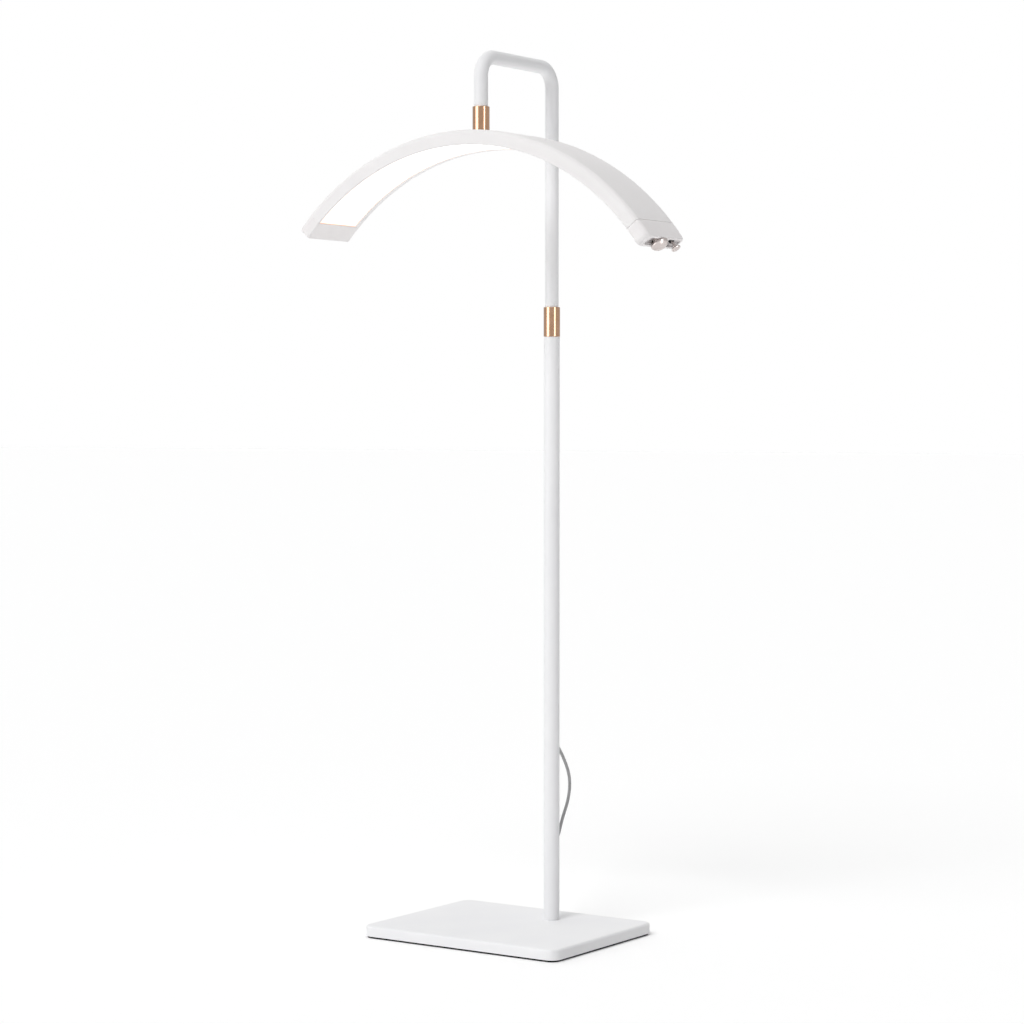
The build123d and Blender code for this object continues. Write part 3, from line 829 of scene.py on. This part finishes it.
# %% close the tube's ends
work = bmesh.new()
work.from_mesh(upper_tube.data)
open_edges = [edge for edge in work.edges if edge.is_boundary]
middle = (MAST_FOOT + DROP_END) / 2 * MM
for at_foot in (True, False):
    rims = [edge for edge in open_edges if (edge.verts[0].co.z < middle) == at_foot]
    bmesh.ops.bridge_loops(work, edges=rims)
bmesh.ops.recalc_face_normals(work, faces=work.faces)
work.to_mesh(upper_tube.data)
work.free()
finish_piece("bent_upper_tube", upper_tube, "mast", "white_powder_coat", "mast_tube")

# %% [markdown]
# ## Arched head
# The housing is one aluminium section rolled into an arc: rounded outer edges, crisp inner ones,
# and two lips that hold the light panel. So its shape is a rule too. The section is drawn once,
# and Geometry Nodes sweep it along an arc whose radius and angles are named inputs. The same tree
# makes the light panel from its own section.

# %% the arch's sizes
ARCH_RADIUS, ARCH_THICKNESS, ARCH_WIDTH = 413.0, 23.0, 105.0
ARCH_CENTRE = Vector((-5.0, -ARM_REACH, 1250.3 - ARCH_RADIUS))
PLAIN_END, CONTROL_END, CAP_ANGLE = -48.0, 54.4, 4.6
OUTER_EDGE, INNER_EDGE = 8.0, 1.5
HOUSING_WALL, FRONT_LIP, BACK_LIP, LIP_THICKNESS = 2.2, 3.2, 11.0, 3.0
INNER_RADIUS = ARCH_RADIUS - ARCH_THICKNESS
HALF_WIDTH = ARCH_WIDTH / 2
PLAIN_SEAM, CONTROL_SEAM = PLAIN_END + CAP_ANGLE, CONTROL_END - CAP_ANGLE


def on_arch(angle, across, radius):
    """Point of the head: angle from the top in degrees, place across it and radius, in mm."""
    turn = math.radians(angle)
    place = ARCH_CENTRE + Vector((radius * math.sin(turn), across, radius * math.cos(turn)))
    return place * MM


def section_mesh(name, outline):
    """A closed outline of (across, radius) points as edges, from the arch's outer radius."""
    mesh = bpy.data.meshes.new(name)
    count = len(outline)
    mesh.from_pydata(
        [(-p.x * MM, (ARCH_RADIUS - p.y) * MM, 0) for p in outline],
        [(i, (i + 1) % count) for i in range(count)],
        [],
    )
    return mesh


tree, group = new_tree(
    "section_along_arch",
    ("Radius", "NodeSocketFloat", 0.4),
    ("Start", "NodeSocketFloat", -0.8),
    ("Sweep", "NodeSocketFloat", 1.6),
    ("Centre", "NodeSocketVector", None),
    ("Steps", "NodeSocketInt", 128),
    ("Material", "NodeSocketMaterial", None),
)
outline_curve = add_node(
    tree, "GeometryNodeMeshToCurve", {"Mesh": group["Geometry"]}
).outputs["Curve"]
arc = add_node(
    tree,
    "GeometryNodeCurveArc",
    {
        "Resolution": group["Steps"],
        "Radius": group["Radius"],
        "Start Angle": group["Start"],
        "Sweep Angle": group["Sweep"],
    },
    mode="RADIUS",
).outputs["Curve"]
stood = add_node(
    tree,
    "GeometryNodeTransform",
    {"Geometry": arc, "Rotation": (-math.pi / 2, -math.pi / 2, 0.0)},
).outputs["Geometry"]
swept = add_node(
    tree, "GeometryNodeCurveToMesh", {
        "Curve": stood, "Profile Curve": outline_curve, "Fill Caps": True
    }
).outputs["Mesh"]
moved = add_node(
    tree, "GeometryNodeTransform", {"Geometry": swept, "Translation": group["Centre"]}
).outputs["Geometry"]
close_tree(tree, moved, group["Material"])
arch_tree = tree


def along_arch(name, outline, start, end, steps, slot):
    """Sweeps an outline along the arch with the tree above."""
    return grow(
        name,
        section_mesh(name, outline),
        arch_tree,
        Radius=ARCH_RADIUS * MM,
        Start=math.radians(start),
        Sweep=math.radians(end - start),
        Centre=ARCH_CENTRE * MM,
        Steps=steps,
        Material=finishes[slot],
    )


# %% arch housing
window_front, window_back = FRONT_LIP - HALF_WIDTH, HALF_WIDTH - BACK_LIP
lip_top = INNER_RADIUS + LIP_THICKNESS
inside_half = HALF_WIDTH - HOUSING_WALL
inside_round = OUTER_EDGE - HOUSING_WALL
housing_outline = rounded(
    [
        (window_front, INNER_RADIUS, 0.3), (-HALF_WIDTH, INNER_RADIUS, INNER_EDGE),
        (-HALF_WIDTH, ARCH_RADIUS, OUTER_EDGE), (HALF_WIDTH, ARCH_RADIUS, OUTER_EDGE),
        (HALF_WIDTH, INNER_RADIUS, INNER_EDGE), (window_back, INNER_RADIUS, 0.3),
        (window_back, lip_top, 0), (inside_half, lip_top, 0),
        (inside_half, ARCH_RADIUS - HOUSING_WALL, inside_round),
        (-inside_half, ARCH_RADIUS - HOUSING_WALL, inside_round),
        (-inside_half, lip_top, 0), (window_front, lip_top, 0),
    ],
    8,
)
ARCH_STEPS = 140
housing = along_arch(
    "housing", housing_outline, PLAIN_SEAM, CONTROL_SEAM, ARCH_STEPS, "white_head_paint"
)
finish_piece("arched_housing", housing, "head", "white_head_paint", "arch_housing")

# %% [markdown]
# The light panel is a stepped opal sheet: its flange lies on the lips and its face fills the
# window, a little back from the edge. After the sweep, every vertex is given its `rim` value from
# how near it is to the panel's edge; this value masks the painted warm glow at the rim.

# %% light panel
PANEL_RECESS, PANEL_BASE, PANEL_GAP = 0.8, 2.0, 0.3
pane_half = inside_half - PANEL_GAP
face_front, face_back = window_front + PANEL_GAP, window_back - PANEL_GAP
step_low, step_high = lip_top + 0.1, lip_top + 0.1 + PANEL_BASE
face_radius = INNER_RADIUS + PANEL_RECESS
# Widths of the bands along the panel's long edges that carry the painted warm glow.
FRONT_PAINTED_GLOW_BAND, BACK_PAINTED_GLOW_BAND = 4.5, 2.2
panel_outline = rounded(
    [
        (-pane_half, step_high, 0), (pane_half, step_high, 0), (pane_half, step_low, 0),
        (face_back, step_low, 0), (face_back, face_radius, 0.4), (
            face_back - BACK_PAINTED_GLOW_BAND, face_radius, 0
        ),
        (face_front + FRONT_PAINTED_GLOW_BAND, face_radius, 0), (face_front, face_radius, 0.4), (
            face_front, step_low, 0
        ),
        (-pane_half, step_low, 0),
    ],
    3,
)
panel = along_arch(
    "panel", panel_outline, PLAIN_SEAM + 0.1, CONTROL_SEAM - 0.1, ARCH_STEPS, "opal_diffuser"
)
panel = finish_piece("light_panel", panel, "head", "opal_diffuser", "diffuser")
# The rim attribute marks where the panel's emission turns to a painted warm glow.
painted_glow_rim_values = panel.data.attributes.new("rim", "FLOAT", "POINT")
ring_step = (CONTROL_SEAM - PLAIN_SEAM) / ARCH_STEPS
for vertex, value in zip(panel.data.vertices, painted_glow_rim_values.data):
    place = vertex.co / MM - ARCH_CENTRE
    angle = math.degrees(math.atan2(place.x, place.z))
    at_side = place.y < face_front + FRONT_PAINTED_GLOW_BAND / 2 or place.y > face_back - BACK_PAINTED_GLOW_BAND / 2
    at_end = min(angle - PLAIN_SEAM, CONTROL_SEAM - angle) < ring_step / 2
    value.value = 1.0 if at_side or at_end else 0.0

# %% [markdown]
# ## Diodes
# Two boards carry twenty diodes each, spread evenly along the arch behind the panel. Geometry
# Nodes put one small package on each point and turn it to face the arch's centre.

# %% diodes
LED_COUNT, LED_SIZE, LED_HEIGHT = 20, 5.0, 0.8
HOUSING_WALL, SPREADER_GAP, SPREADER_THICKNESS = 2.2, 0.1, 2.0
BOARD_GAP, BOARD_THICKNESS = 0.05, 1.6
spreader_radius = ARCH_RADIUS - HOUSING_WALL - SPREADER_GAP
led_radius = spreader_radius - SPREADER_THICKNESS - BOARD_GAP - BOARD_THICKNESS - BOARD_GAP
led_start, led_end = PLAIN_SEAM + 1.5, CONTROL_SEAM - 1.5
half_led = LED_SIZE / 2 * MM


def led_ring(inset, depth):
    """Square outline of a diode package at a depth under its board."""
    side = half_led - inset * MM
    corners = [
        (side, side, 0.4 * MM),
        (-side, side, 0.4 * MM),
        (-side, -side, 0.4 * MM),
        (side, -side, 0.4 * MM),
    ]
    return [(p.x, p.y, -depth * MM) for p in rounded(corners, 1)]


package = skin([led_ring(*step) for step in ((0, 0), (0, 0.6), (0.5, 0.6), (0.6, LED_HEIGHT))])
package_mesh = bpy.data.meshes.new("diode_package")
package.to_mesh(package_mesh)
package.free()
package_model = bpy.data.objects.new("diode_package", package_mesh)
tree, group = new_tree(
    "diodes_on_arch",
    ("Copy", "NodeSocketObject", None),
    ("Centre", "NodeSocketVector", None),
    ("Material", "NodeSocketMaterial", None),
)
model = add_node(tree, "GeometryNodeObjectInfo", {"Object": group["Copy"]}).outputs["Geometry"]
here = add_node(tree, "GeometryNodeInputPosition").outputs["Position"]
from_centre = add_node(
    tree, "ShaderNodeVectorMath", {0: here, 1: group["Centre"]}, operation="SUBTRACT"
)
outward = add_node(
    tree, "ShaderNodeVectorMath", {
        0: from_centre.outputs["Vector"], 1: (1.0, 0.0, 1.0)
    }, operation="MULTIPLY"
).outputs["Vector"]
facing = add_node(
    tree, "FunctionNodeAlignRotationToVector", {"Vector": outward}, axis="Z"
).outputs["Rotation"]
placed = add_node(
    tree,
    "GeometryNodeInstanceOnPoints",
    {"Points": group["Geometry"], "Instance": model, "Rotation": facing},
).outputs["Instances"]
close_tree(tree, placed, group["Material"])

led_points = bpy.data.meshes.new("diode_points")
led_angles = [led_start + (k + 0.5) * (led_end - led_start) / LED_COUNT for k in range(LED_COUNT)]
led_places = [(angle, across) for across in (-29.0, 29.0) for angle in led_angles]
led_points.from_pydata(
    [on_arch(angle, across, led_radius) for angle, across in led_places], [], []
)
diodes = grow(
    "diodes", led_points, tree,
    Copy=package_model, Centre=ARCH_CENTRE * MM, Material=finishes["led"]
)
finish_piece("diode_rows", diodes, "head", "led", "leds_front", "leds_rear")
bpy.data.objects.remove(package_model)

# %% [markdown]
# ## End caps
# Each cap is a hollow moulding that carries the head's section to a square end with rounded
# corners. It is skinned from rings along the arch: the inside first, then the seam face with its
# small chamfer, the outside, and the end face. The control end is dished, and the dimmer and the
# toggle stand in the dish.

# %% end caps
PLAIN_CORNER, CONTROL_CORNER, CAP_WALL = 3.0, 8.0, 2.5
DISH_DEPTH, DISH_MARGIN, DISH_FLOOR = 7.0, 3.6, 2.0
DISH_END_MARGIN, DISH_CORNER, DISH_LIP, DISH_FILLET = 1.2, 5.0, 0.3, 0.6
SEAM_CHAMFER = 0.45
SEAM_GAP = 0.05
SECTION_STEPS = 8
MEAN_RADIUS = ARCH_RADIUS - ARCH_THICKNESS / 2


def cap_section(side, inset):
    """Outer section of the head, narrowed at its sides and shrunk evenly, as (across, radius)."""
    across = HALF_WIDTH - side - inset
    low, high = INNER_RADIUS + inset, ARCH_RADIUS - inset
    outer, inner = max(OUTER_EDGE - inset, 1.5), max(INNER_EDGE - inset, 0.8)
    return rounded(
        [
            (-across, low, inner),
            (-across, high, outer),
            (across, high, outer),
            (across, low, inner),
        ],
        SECTION_STEPS,
    )


def cap_rings(seam, end, corner, dished):
    """Rings of an end cap from its inner floor, over the seam face and the outside, to its end."""
    way = 1 if end > seam else -1
    length = math.radians(abs(end - seam) - SEAM_GAP) * MEAN_RADIUS

    def ring(section, distance):
        """A section at a distance in mm from the end face."""
        angle = end - way * math.degrees(distance / MEAN_RADIUS)
        return [on_arch(angle, p.x, p.y) for p in section]

    floor = CAP_WALL + (DISH_DEPTH + DISH_FLOOR if dished else 0)
    rings = [
        ring(cap_section(0, CAP_WALL), distance)
        for distance in (floor, (floor + length) / 2, length)
    ]
    rings.append(ring(cap_section(0, SEAM_CHAMFER), length))
    rings.append(ring(cap_section(0, 0), length - SEAM_CHAMFER))
    rings += [ring(cap_section(0, 0), length - (length - corner) * k / 6) for k in range(1, 7)]
    round_steps = 9 if corner > 5 else 6
    for k in range(1, round_steps + 1):
        turn = math.pi / 2 * k / (round_steps + 1)
        rings.append(
            ring(cap_section(corner * (1 - math.cos(turn)), 0), corner * (1 - math.sin(turn)))
        )
    last_turn = math.pi / 2 * round_steps / (round_steps + 1)
    last = corner * (1 - math.cos(last_turn))
    last_distance = corner * (1 - math.sin(last_turn))
    for share, inset, distance in ((0.2, 0.1, 0.3), (0.5, 0.3, 0.08), (0.8, 0.6, 0)):
        edge_width = last + (corner - last) * share - inset
        edge_distance = min(distance, last_distance * (1 - share))
        rings.append(ring(cap_section(edge_width, inset), edge_distance))
    if dished:
        half_long = HALF_WIDTH - corner - DISH_END_MARGIN
        half_short = ARCH_THICKNESS / 2 - DISH_MARGIN
        for grow_by, distance in (
            (DISH_LIP, 0),
            (0, DISH_LIP),
            (0, DISH_DEPTH - DISH_FILLET),
            (-DISH_FILLET, DISH_DEPTH),
        ):
            x, r = half_long + grow_by, half_short + grow_by
            corners = [(-x, -r), (-x, r), (x, r), (x, -r)]
            outline = rounded(
                [(a, MEAN_RADIUS + b, DISH_CORNER + grow_by) for a, b in corners], SECTION_STEPS
            )
            rings.append(ring(outline, distance))
    return rings


plain_cap = skin(cap_rings(PLAIN_SEAM, PLAIN_END, PLAIN_CORNER, False))
finish_piece("plain_end_cap", plain_cap, "head", "white_cap_plastic", "end_cap_plain", sharp=50.0)
control_cap = skin(cap_rings(CONTROL_SEAM, CONTROL_END, CONTROL_CORNER, True))
finish_piece(
    "control_end_cap", control_cap, "head", "white_cap_plastic", "end_cap_control", sharp=50.0
)

# %% [markdown]
# ## Dimmer and toggle
# Both are turned and plated, so both are profiles spun about the axis that stands on the dish's
# floor. The dimmer is a dome with a flat tip. The toggle is a ball-ended stem under a small
# mushroom.

# %% controls
KNOB_ACROSS, TOGGLE_ACROSS = -10.0, 31.0
end_turn = math.radians(CONTROL_END)
out_of_end = Vector((math.cos(end_turn), 0, -math.sin(end_turn)))
up_the_end = Vector((math.sin(end_turn), 0, math.cos(end_turn)))


def spun_on_end(profile, across, steps):
    """Turns a (radius, height) profile about the control axis; height is from the dish's floor."""
    foot = on_arch(CONTROL_END, across, MEAN_RADIUS) - out_of_end * DISH_DEPTH * MM
    rings = []
    for radius, height in profile:
        centre = foot + out_of_end * height * MM
        rings.append(
            [
                centre
                + (up_the_end * math.cos(a) + Vector((0, 1, 0)) * math.sin(a)) * max(
                    radius,
                    0.001,
                ) * MM
                for a in (2 * math.pi * k / steps for k in range(steps))
            ]
        )
    return skin(rings)


KNOB_RADIUS, KNOB_TIP, KNOB_RIM, KNOB_TOP, KNOB_NECK = 13.5, 7.5, 8.8, 16.5, 7.2
knob_profile = [
    (0, -11.0), (2.7, -11.0), (3.0, -10.7), (3.0, 0.6), (KNOB_NECK - 0.2, 0.6), (KNOB_NECK, 0.8),
    (KNOB_NECK, KNOB_RIM - 1.0), (KNOB_NECK + 0.2, KNOB_RIM - 0.8), (
        KNOB_RADIUS - 0.9, KNOB_RIM - 0.8
    ),
    (KNOB_RADIUS - 0.3, KNOB_RIM - 0.55), (KNOB_RADIUS, KNOB_RIM),
]
for k in range(1, 16):
    t = k / 16
    fall = (KNOB_RADIUS - KNOB_TIP - 0.6) * t**1.9
    knob_profile.append((KNOB_RADIUS - fall, KNOB_RIM + (KNOB_TOP - KNOB_RIM - 0.35) * t))
knob_profile += [
    (KNOB_TIP + 0.3, KNOB_TOP - 0.2), (KNOB_TIP - 0.3, KNOB_TOP - 0.04), (
        KNOB_TIP - 1.0, KNOB_TOP
    ),
    (2.0, KNOB_TOP), (0, KNOB_TOP),
]
finish_piece(
    "dimmer_dome", spun_on_end(
        knob_profile, KNOB_ACROSS, 64
    ), "dimmer_knob", "satin_nickel", "dimmer_knob"
)

PIVOT, BALL, STEM, TIP, TIP_THICKNESS = 0.5, 2.6, 1.9, 7.2, 5.5
TOGGLE_TOP = PIVOT + 17.0
toggle_profile = [
    (BALL * math.sin(a), PIVOT - BALL * math.cos(a)) for a in (
        math.radians(d) for d in range(0, 133, 12)
    )
]
toggle_profile += [(STEM, PIVOT + 2.2), (STEM, TOGGLE_TOP - TIP_THICKNESS)]
mushroom = [
    (0.43, 5.3), (0.63, 4.9), (0.83, 4.2), (0.95, 3.3), (1.0, 2.4), (0.97, 1.7), (0.87, 0.9), (
        0.67,
        0.35,
    ), (0.37, 0.08),
]
toggle_profile += [
    (share * TIP, TOGGLE_TOP - depth) for share, depth in mushroom
] + [(0, TOGGLE_TOP)]
finish_piece(
    "toggle_switch_lever", spun_on_end(
        toggle_profile, TOGGLE_ACROSS, 48
    ), "toggle_lever", "satin_nickel", "toggle_lever"
)

# %% [markdown]
# ## Floor and light
# A plain pale floor runs to the horizon. A large soft box to the camera's left gives the tubes
# their bright left side, a narrow one on the right draws a thin reflection on the brass, and the
# sky fills the rest. The camera sees the sky as plain white.

# %% floor
FLOOR_HALF = 60.0
floor_mesh = bpy.data.meshes.new("floor")
floor_mesh.from_pydata(
    [
        (x * FLOOR_HALF, y * FLOOR_HALF, 0) for x, y in ((-1, -1), (1, -1), (1, 1), (-1, 1))
    ], [], [(0, 1, 2, 3)]
)
floor = bpy.data.objects.new("floor", floor_mesh)
scene.collection.objects.link(floor)
floor_finish = start_material(
    "matt_white_floor", "FCFCFC", Roughness=0.85, Specular_IOR_Level=0.2
)[0]
floor_mesh.materials.append(floor_finish)

# %% lights
LAMP_MIDDLE = Vector((0, -0.09, 0.7))
CAMERA_BEARING = 34.3


def facing_lamp(name, kind, leftward, distance, height, power):
    """A light that faces the lamp; leftward is its bearing left of the camera's, in degrees."""
    data = bpy.data.lights.new(name, kind)
    data.energy = power
    light = bpy.data.objects.new(name, data)
    scene.collection.objects.link(light)
    bearing = math.radians(CAMERA_BEARING - leftward)
    away = Vector((math.sin(bearing), -math.cos(bearing), 0)) * distance
    light.location = LAMP_MIDDLE + away + Vector((0, 0, height))
    light.rotation_euler = (-away - Vector((0, 0, height))).to_track_quat("-Z", "Y").to_euler()
    return light


overhead = facing_lamp("soft_key", "SUN", 30, 2.0, 1.9, 1.7)
overhead.data.angle = math.radians(30)
for name, leftward, width, power in (("left_box", 58, 1.6, 42), ("right_strip", -44, 0.6, 24)):
    box = facing_lamp(name, "AREA", leftward, 2.6, 0.15, power)
    box.data.shape = "RECTANGLE"
    box.data.size = width
    box.data.size_y = 2.6
    box.visible_diffuse = False

# %% sky
SKY_LEVEL = 0.37
SKY_SLOPE = (-0.58, 0.58, 0.66)
MIRRORED_LEVEL = 0.6
world = bpy.data.worlds.new("studio")
scene.world = world
world.use_nodes = True
sky = world.node_tree
sky.nodes.clear()
direction = add_node(sky, "ShaderNodeTexCoord").outputs["Generated"]
slope = add_node(
    sky, "ShaderNodeVectorMath", {0: direction, 1: SKY_SLOPE}, operation="DOT_PRODUCT"
)
level = add_node(sky, "ShaderNodeMath", {0: slope.outputs["Value"], 1: SKY_LEVEL}, operation="ADD")
kept = add_node(sky, "ShaderNodeMath", {0: level.outputs["Value"], 1: 0.04}, operation="MAXIMUM")
path = add_node(sky, "ShaderNodeLightPath")
shown = add_node(
    sky, "ShaderNodeBackground", {"Strength": kept.outputs["Value"]}
).outputs["Background"]
for ray, strength in (("Is Glossy Ray", MIRRORED_LEVEL), ("Is Camera Ray", 1.0)):
    even = add_node(
        sky, "ShaderNodeBackground", {"Color": (1.0, 1.0, 1.0, 1.0), "Strength": strength}
    )
    shown = add_node(
        sky, "ShaderNodeMixShader", {
            "Fac": path.outputs[ray], 1: shown, 2: even.outputs["Background"]
        }
    ).outputs["Shader"]
add_node(sky, "ShaderNodeOutputWorld", {"Surface": shown})
scene.view_settings.view_transform = "Standard"
